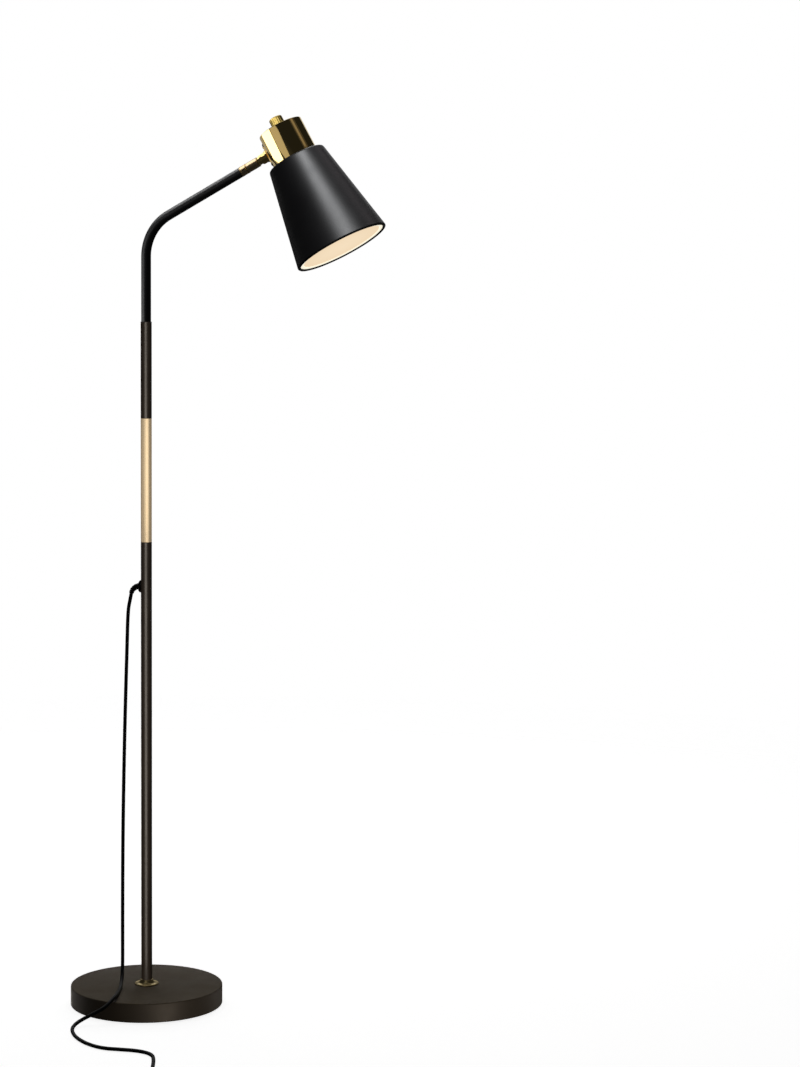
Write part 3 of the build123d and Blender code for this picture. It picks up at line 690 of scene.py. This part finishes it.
turned("base_shell", "base_paint", "base", "base_cover", [
    (BASE_RADIUS - BASE_SKIN, PAD_TOP, 0), (BASE_RADIUS - 0.4, PAD_TOP, 0.4),
    (BASE_RADIUS, PAD_TOP + 0.9, 0.5), (BASE_RADIUS, BASE_TOP, 2.4),
    (BOLT_HOLE, BASE_TOP, 0), (BOLT_HOLE, BASE_TOP - BASE_SKIN, 0),
    (BASE_RADIUS - BASE_SKIN, BASE_TOP - BASE_SKIN, 1.2),
], steps=192)
turned("foot_rosette", "dull_brass", "base", "foot_flange", [
    (radius, BASE_TOP + rise, fillet) for radius, rise, fillet in (
        (POLE_RADIUS + 0.1, 0, 0), (19.4, 0, 0.3), (20.0, 1.0, 0.8), (19.0, 2.0, 0.6), (17.0, 1.3, 0.8),
        (13.2, 2.4, 2.0), (10.6, 5.6, 1.8), (10.3, 8.2, 0.3), (POLE_RADIUS + 0.1, 8.5, 0.2),
    )
], steps=96)
for piece, slot, low, high in (
    ("lower", "pole_paint", BASE_TOP, LOWER_JOINT), ("brass", "satin_brass", LOWER_JOINT, UPPER_JOINT),
    ("upper", "pole_paint", UPPER_JOINT, POLE_TOP),
):
    turned(piece + "_pole", slot, "base", piece + "_tube", [
        (POLE_BORE, low, 0), (POLE_RADIUS, low, 0.45), (POLE_RADIUS, high, 0.45), (POLE_BORE, high, 0),
    ], steps=72)

CUP_RADIUS = 36.5
CUP_WALL = 1.2
CUP_TOP = 28.0
CUP_FOOT = -28.0
CUP_END = 1.5
SHAFT_HOLE = 5.1
NECK_HOLE = 22.0
SHADE_NECK = 47.5
SHADE_WALL = 1.0
SHADE_MOUTH = 76.0
WALL_FOOT = -183.6
LIP_CENTRE = (74.7, -184.9)
LIP_RADIUS = 2.6


def shade_outline():
    """The cone's wall, its two rounded shoulders, and the round bead at its mouth."""
    inner_top = CUP_FOOT - SHADE_WALL
    wall = rounded([
        (NECK_HOLE, inner_top, 0), (NECK_HOLE, CUP_FOOT, 0), (SHADE_NECK, CUP_FOOT, 4.2),
        (SHADE_MOUTH, WALL_FOOT, 0),
    ], 10)
    bead = arc(LIP_CENTRE, LIP_RADIUS, 20, -171, -10)
    inside = rounded([
        (SHADE_MOUTH - SHADE_WALL, WALL_FOOT + 0.6, 0), (SHADE_NECK - 1.1, inner_top, 3.2),
        (NECK_HOLE, inner_top, 0),
    ], 8)
    return wall[:-1] + bead + inside[:-1]


shade_mesh = lathe("shade_cone", shade_outline(), steps=192)
link("shade_cone", shade_mesh, "shade_paint", "head", "shade", matrix=HEAD)
turned("cup_turned", "polished_brass", "head", "cup", [
    (SHAFT_HOLE, CUP_TOP, 0), (SHAFT_HOLE, CUP_TOP - CUP_END, 0),
    (CUP_RADIUS - CUP_WALL, CUP_TOP - CUP_END, 0.5), (CUP_RADIUS - CUP_WALL, CUP_FOOT + CUP_END, 0.5),
    (NECK_HOLE, CUP_FOOT + CUP_END, 0), (NECK_HOLE, CUP_FOOT, 0),
    (CUP_RADIUS, CUP_FOOT, 0.3), (CUP_RADIUS, CUP_TOP, 0.9),
], matrix=HEAD, steps=192)

BEZEL_INSIDE = 66.8
BEZEL_RADIUS = 72.0
BEZEL_BACK = -182.0
DIFFUSER_FLANGE = 69.5

turned("bezel_trim", "bezel_white", "head", "bezel_ring", [
    (BEZEL_INSIDE, BEZEL_BACK, 0), (BEZEL_RADIUS, BEZEL_BACK, 0), (BEZEL_RADIUS, BEZEL_BACK - 3.5, 0.3),
    (BEZEL_INSIDE + 0.5, BEZEL_BACK - 3.6, 0.6), (BEZEL_INSIDE, BEZEL_BACK - 2.9, 0.3),
], matrix=HEAD, steps=192)
diffuser_mesh = lathe("diffuser_disc", [
    (0, BEZEL_BACK + 2.0), (DIFFUSER_FLANGE, BEZEL_BACK + 2.0), (DIFFUSER_FLANGE, BEZEL_BACK),
    (DIFFUSER_RADIUS, BEZEL_BACK), (DIFFUSER_RADIUS, -184.3), (DIFFUSER_RADIUS - 0.3, -184.6),
    (60.0, -184.8), (40.0, -185.0), (20.0, -185.1), (0, -185.15),
], steps=160, closed=False)
link("diffuser_disc", diffuser_mesh, "opal", "head", "diffuser", matrix=HEAD)

KNOB_RADIUS = 11.0
FLUTES = 16
FLUTE_DEPTH = 0.45
FLUTE_SIDES = 12
FLUTE_LOW = 28.8
FLUTE_HIGH = 45.4
LOW_FADE = 0.8
HIGH_FADE = 1.6


def fluted(radius, height, angle):
    """Rounded ribs round the knob's side, fading out at its two ends."""
    if radius < KNOB_RADIUS - 2.0 or not FLUTE_LOW < height < FLUTE_HIGH:
        return radius
    fade = min(1.0, (height - FLUTE_LOW) / LOW_FADE, (FLUTE_HIGH - height) / HIGH_FADE)
    return radius - FLUTE_DEPTH * fade * (1 - abs(math.cos(FLUTES * angle / 2)) ** 0.7)


def knob_outline():
    """The knob's bore for the shaft, its hollow underside, its side, and its slightly dished top."""
    underside = [
        (0, 42.0), (3.0, 42.0), (3.0, 34.2), (8.6, 34.2), (8.6, 28.4), (10.5, 28.4), (10.9, 28.7),
    ]
    side = [(KNOB_RADIUS, height) for height in (29.2, 30.0, 34.0, 38.0, 42.0, 43.6)]
    top = [
        (10.9, 44.4), (10.5, 45.2), (9.7, 45.9), (8.6, 46.3), (7.0, 46.45), (6.2, 46.3), (5.8, 46.0),
        (0, 45.9),
    ]
    return underside + side + top


knob_mesh = lathe(
    "knob_fluted", knob_outline(), steps=FLUTES * FLUTE_SIDES, closed=False, shape=fluted, smooth_under=50.0,
)
link("knob_fluted", knob_mesh, "knob_brass", "dimmer_knob", "knob", matrix=HEAD)

# ---------------------------------------------------------------- the arm

ARM_RADIUS = 7.95
ARM_EDGE = 0.4
ARM_FOOT = 1.066
ARM_BEND = 0.075
ARM_REACH = 0.189
BEND_STEPS = 28


def arm_sections():
    """The arm's centreline frames: straight up, round the elbow, and along the slope."""
    turn = math.pi / 2 - ARM_SLOPE
    sections = [placed((0, 0, height), SIDEWAYS, UP) for height in (ARM_FOOT, 1.1, 1.15, 1.2)]
    start = ELBOW - UP * ARM_BEND * math.tan(turn / 2)
    for step in range(BEND_STEPS + 1):
        angle = turn * step / BEND_STEPS
        shift = Vector((ARM_BEND * (1 - math.cos(angle)), 0, ARM_BEND * math.sin(angle)))
        sections.append(placed(start + shift, SIDEWAYS, (math.sin(angle), 0, math.cos(angle))))
    along = (0.08, 0.12, 0.16, ARM_REACH - 0.0005, ARM_REACH)
    return sections + [placed(ELBOW + ARM_WAY * distance, SIDEWAYS, ARM_WAY) for distance in along]


*arm_body, arm_end = arm_sections()
arm_rings = [circle(section, ARM_RADIUS, count=72) for section in arm_body]
arm_rings.append(circle(arm_end, ARM_RADIUS - ARM_EDGE, count=72))
link("arm_bent", to_mesh("arm_bent", loft(arm_rings)), "arm_paint", "arm", "arm_tube")

# The two thin beads that mark the collar's seams, at their distances from the elbow.
COLLAR_BEADS = (190.4, 200.5)
COLLAR_RADIUS = 7.75
BEAD_RADIUS = 0.55

for number, height in enumerate(COLLAR_BEADS):
    name = f"collar_bead_{number + 1}"
    ring = arc((COLLAR_RADIUS, height), BEAD_RADIUS, 0, 360, 30)
    bead = lathe(name, ring, steps=72)
    link(name, bead, "polished_brass", "arm", matrix=placed(ELBOW, SIDEWAYS, ARM_WAY))

# ---------------------------------------------------------------- stage and light

FLOOR_RADIUS = 4.0
FLOOR_DROP = 0.0002
FADE_START = 1.2
FADE_END = 3.2


def make_stage():
    """A pale floor that fades into the white beyond it."""
    mesh = bmesh.new()
    bmesh.ops.create_circle(mesh, cap_ends=True, segments=96, radius=FLOOR_RADIUS)
    data = bpy.data.meshes.new("floor")
    mesh.to_mesh(data)
    mesh.free()
    floor = bpy.data.objects.new("floor", data)
    floor.location.z = -FLOOR_DROP
    bpy.context.scene.collection.objects.link(floor)
    look = Look("floor_look")
    seen = look.add("ShaderNodeLightPath").outputs["Is Camera Ray"]
    colour = look.ramp(seen, (0.0, (0.16, 0.16, 0.16)), (1.0, (0.86, 0.86, 0.86)))
    look.set(Base_Color=colour, Roughness=0.9, Specular_IOR_Level=0.0)
    look.set(Emission_Color=(1, 1, 1, 1), Emission_Strength=look.maths("MULTIPLY", seen, 0.87))
    look.set(Alpha=look.level(look.from_axis(), 1.0, 0.0, FADE_START, FADE_END))
    data.materials.append(look.material)


def make_world():
    """White behind the lamp, and round it a dim room that is lighter at eye level than above."""
    world = bpy.data.worlds.new("world")
    world.use_nodes = True
    world.node_tree.nodes.clear()
    bpy.context.scene.world = world
    sky = Nodes(world.node_tree, "Generated")
    height = sky.add("ShaderNodeSeparateXYZ", Vector=sky.place).outputs["Z"]
    greys = ((0.0, 0.03), (0.45, 0.04), (0.55, 0.035), (0.65, 0.016), (1.0, 0.016))
    dim = sky.ramp(sky.level(height, 0.0, 1.0, -1.0, 1.0), *((at, (grey, grey, grey)) for at, grey in greys))
    room = sky.add("ShaderNodeBackground", Color=dim)
    white = sky.add("ShaderNodeBackground", Color=(1, 1, 1, 1))
    seen = sky.add("ShaderNodeLightPath").outputs["Is Camera Ray"]
    mix = sky.add("ShaderNodeMixShader", Fac=seen)
    sky.put(mix.inputs[1], room.outputs["Background"])
    sky.put(mix.inputs[2], white.outputs["Background"])
    sky.add("ShaderNodeOutputWorld", Surface=mix.outputs["Shader"])


def panel(name, target, azimuth, elevation, distance, size, radiance, tint=(1, 1, 1), on=(), under=False):
    """A soft rectangular light, its direction from the target given from the camera's side.

    It lights only the pieces named in on, or everything if there are none. With under set it
    reaches them through the floor, as the light that a pale floor throws back does.
    """
    across, height = math.radians(azimuth), math.radians(elevation)
    way = (TO_CAMERA * math.cos(across) + TO_RIGHT * math.sin(across)) * math.cos(height)
    way += UP * math.sin(height)
    data = bpy.data.lights.new(name, "AREA")
    data.shape = "RECTANGLE"
    data.size, data.size_y = size
    data.energy = radiance * math.pi * size[0] * size[1]
    data.color = tint
    lamp = bpy.data.objects.new(name, data)
    aimed = way.to_track_quat("Z", "Y").to_matrix().to_4x4()
    lamp.matrix_world = Matrix.Translation(Vector(target) + way * distance) @ aimed
    lamp.visible_camera = False
    bpy.context.scene.collection.objects.link(lamp)
    if on:
        lit = bpy.data.collections.new(name + "_lit")
        for piece in on:
            lit.objects.link(bpy.data.objects[piece])
        lamp.light_linking.receiver_collection = lit
        if under:
            lamp.light_linking.blocker_collection = lit


CUP_AT = (0.25, 0, 1.41)
SHADE_AT = (0.29, 0, 1.33)
STUB_AT = (0.18, 0, 1.373)
ARM_AT = (0.1, 0, 1.33)
ARM_FOOT_AT = (0, 0, 1.19)
BRASS_AT = (0, 0, 0.87)
POLE_AT = (0, 0, 0.55)
BASE_AT = (0, 0, 0.02)
MIDDLE = (0, 0, 0.8)
SHADE = ["shade_cone"]
CUP = ["cup_turned", "bracket_plate", "bracket_screws"]
KNOB = ["knob_fluted"]
BEADS = ["collar_bead_1", "collar_bead_2"]
STUB = ["stub_tube", "swivel_collar", *BEADS, "knuckle_tongue", "knuckle_boss", "pivot_screws"]
ARM = ["arm_bent"]
POLES = ["lower_pole", "upper_pole"]
BASE = ["base_shell"]
WARM = (1.0, 0.90, 0.78)
PALE = (1.0, 0.94, 0.88)
COOL = (0.965, 0.98, 1.0)
PINK = (1.0, 0.92, 0.95)
TAN = (1.0, 0.93, 0.86)
STREAK = (1.0, 0.85, 0.75)
GOLD = (1.0, 0.82, 0.50)

make_stage()
make_world()
panel("overhead", (0, 0, 0), 180, 80, 3.2, (2.0, 2.0), 0.9)
panel("behind_left", MIDDLE, -158, 24, 3.2, (1.6, 1.6), 0.7)
panel("behind_right", MIDDLE, 160, 24, 3.2, (1.6, 1.6), 0.7)
panel("shade_key", SHADE_AT, 0, 52, 1.9, (0.88, 0.75), 18.0, COOL, on=SHADE)
panel("shade_side", SHADE_AT, 115, 50, 1.9, (0.9, 0.7), 0.8, PINK, on=SHADE)
panel("cup_white", CUP_AT, -94, -9, 1.2, (1.33, 0.55), 3.0, on=CUP)
panel("cup_tan", CUP_AT, -46, 5, 1.3, (0.76, 0.62), 0.5, TAN, on=CUP)
panel("cup_left", CUP_AT, -150, -8, 1.2, (0.95, 0.5), 0.34, on=CUP)
panel("cup_streak", CUP_AT, 68, 44, 2.0, (0.42, 0.5), 0.2, STREAK, on=CUP)
panel("cup_streak_edge", CUP_AT, 70, 43, 2.0, (1.0, 0.8), 0.05, STREAK, on=CUP)
panel("knob_front", CUP_AT, -12, 12, 1.5, (2.8, 1.6), 1.15, on=KNOB)
panel("knob_left", CUP_AT, -85, 20, 1.5, (1.6, 1.4), 1.6, on=KNOB)
panel("stub_white", STUB_AT, -105, 36, 1.4, (1.9, 0.75), 1.8, on=STUB)
panel("arm_edge", ARM_AT, -98, 42, 1.5, (1.0, 0.6), 6.0, on=ARM)
panel("arm_left", ARM_FOOT_AT, -80, -8, 1.3, (1.2, 0.4), 4.0, on=ARM)
for side, azimuth, wide, radiance in (
    ("front", 10, 1.87, 1.45), ("left", -33, 1.3, 0.85), ("back_left", -85, 2.8, 0.48),
    ("right", 47, 0.85, 0.85), ("back_right", 90, 2.3, 0.32), ("back", 180, 3.4, 0.7),
):
    panel("brass_" + side, BRASS_AT, azimuth, -2, 2.0, (wide, 1.2), radiance, on=["brass_pole"])
panel("pole_front", POLE_AT, -10, -6, 2.4, (1.5, 2.8), 4.8, WARM, on=POLES, under=True)
panel("base_front", BASE_AT, 25, -10, 2.2, (0.9, 0.8), 7.5, PALE, on=BASE, under=True)
panel("base_left", BASE_AT, -130, -8, 2.0, (1.6, 0.8), 0.6, PALE, on=BASE, under=True)
panel("base_right", BASE_AT, 115, -8, 2.0, (2.0, 0.8), 0.6, PALE, on=BASE, under=True)
panel("base_top", BASE_AT, 180, 65, 2.0, (1.6, 1.6), 1.0, GOLD, on=BASE)
panel("base_back", BASE_AT, 185, -8, 2.0, (1.2, 0.8), 4.0, PALE, on=BASE, under=True)
panel("pole_back", POLE_AT, 190, -4, 2.4, (1.0, 2.8), 3.5, WARM, on=POLES, under=True)
panel("arm_back", ARM_AT, 190, 40, 1.6, (0.9, 0.7), 6.0, on=ARM)
panel("shade_back", SHADE_AT, 190, 48, 1.9, (0.8, 0.7), 6.0, COOL, on=SHADE)
panel("foot_front", BASE_AT, -15, 35, 1.6, (1.0, 0.6), 1.2, on=["foot_rosette"])

bpy.context.scene.view_settings.view_transform = "Standard"
